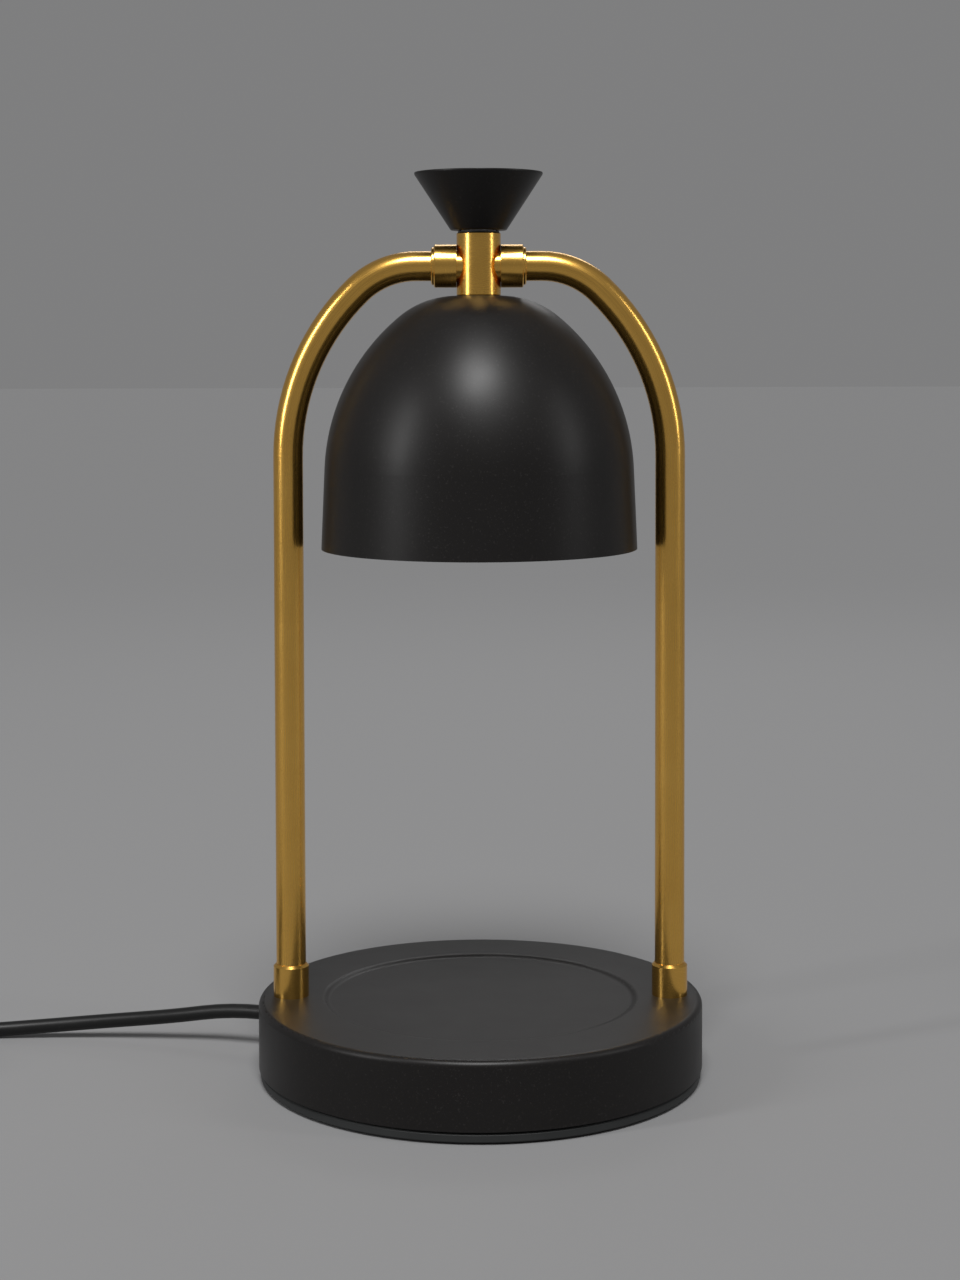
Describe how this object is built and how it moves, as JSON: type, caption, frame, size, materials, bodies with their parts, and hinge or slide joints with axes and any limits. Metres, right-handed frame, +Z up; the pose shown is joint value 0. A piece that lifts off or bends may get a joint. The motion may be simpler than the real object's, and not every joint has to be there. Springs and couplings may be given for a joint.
{
  "type": "candle warmer lamp",
  "caption": "Warming lamp with a round weighted base, an arch of bent tube, a domed metal shade over a twist-lock bulb, a dimmer knob on top and a mains cord.",
  "frame": {"origin": "centre of the round base at the surface it stands on", "axes": "+Z up along the shade's axis, +X from the left post to the right post, -Y towards the viewer of the picture"},
  "size_m": [0.3518, 0.1729, 0.3044],
  "materials": {
    "black_enamel": "satin powder coat",
    "brass": "brushed satin",
    "black_plastic": "fine matte",
    "cord_plastic": "semi-gloss",
    "pad_rubber": "matte",
    "zinc_steel": "zinc plated",
    "cast_weight": "as cast",
    "board_laminate": "satin",
    "part_plastic": "matte",
    "ceramic": "fired ceramic",
    "copper": "bare copper",
    "plated_brass": "nickel plated",
    "bulb_glass": "clear",
    "mirror_glass": "facetted reflector"
  },
  "bodies": {
    "stand": {"base_cover": "black_enamel", "cover_standoffs": "zinc_steel", "bottom_plate": "black_plastic", "foot_pad": "pad_rubber", "bottom_screws": "zinc_steel", "base_weight": "cast_weight", "weight_screws": "zinc_steel", "circuit_board": "board_laminate", "board_screws": "zinc_steel", "mains_terminal": "part_plastic", "filter_capacitor": "part_plastic", "filter_choke": "copper", "dimmer_triac": "part_plastic", "cord_clamp": "black_plastic", "cord_clamp_screws": "zinc_steel", "cord_tail": "cord_plastic", "mains_leads": "copper", "cord_strain_relief": "cord_plastic", "power_cord": "cord_plastic", "cord_coil": "cord_plastic", "plug_body": "cord_plastic", "plug_blades": "plated_brass", "right_arch_tube": "brass", "left_arch_tube": "brass", "right_post_ferrule": "brass", "left_post_ferrule": "brass", "post_studs": "zinc_steel", "post_washers": "zinc_steel", "post_nuts": "zinc_steel", "centre_hub": "brass", "right_hub_collar": "brass", "left_hub_collar": "brass", "collar_grub_screws": "zinc_steel", "dimmer_body": "zinc_steel", "dimmer_tags": "copper", "dimmer_nut": "zinc_steel", "dimmer_washer": "black_plastic", "dimmer_cable": "cord_plastic", "lamp_cable": "cord_plastic", "shade": "black_enamel", "shade_nipple": "zinc_steel", "shade_washer": "zinc_steel", "shade_nuts": "zinc_steel", "lampholder_bracket": "zinc_steel", "lampholder": "ceramic", "lampholder_screws": "zinc_steel"},
    "knob": {"dimmer_knob": "black_enamel", "dimmer_spindle": "zinc_steel"},
    "bulb": {"bulb_base": "ceramic", "bulb_pins": "plated_brass", "bulb_reflector": "mirror_glass", "bulb_front_glass": "bulb_glass", "bulb_capsule": "bulb_glass"}
  },
  "joints": [
    {"name": "knob_turn", "type": "hinge", "parent": "stand", "child": "knob", "pos_m": [0, 0, 0.29], "axis": [0, 0, 1], "range_deg": [0, 300]},
    {"name": "bulb_twist", "type": "hinge", "parent": "stand", "child": "bulb", "pos_m": [0, 0, 0.2296], "axis": [0, 0, -1], "range_deg": [0, 20]}
  ]
}
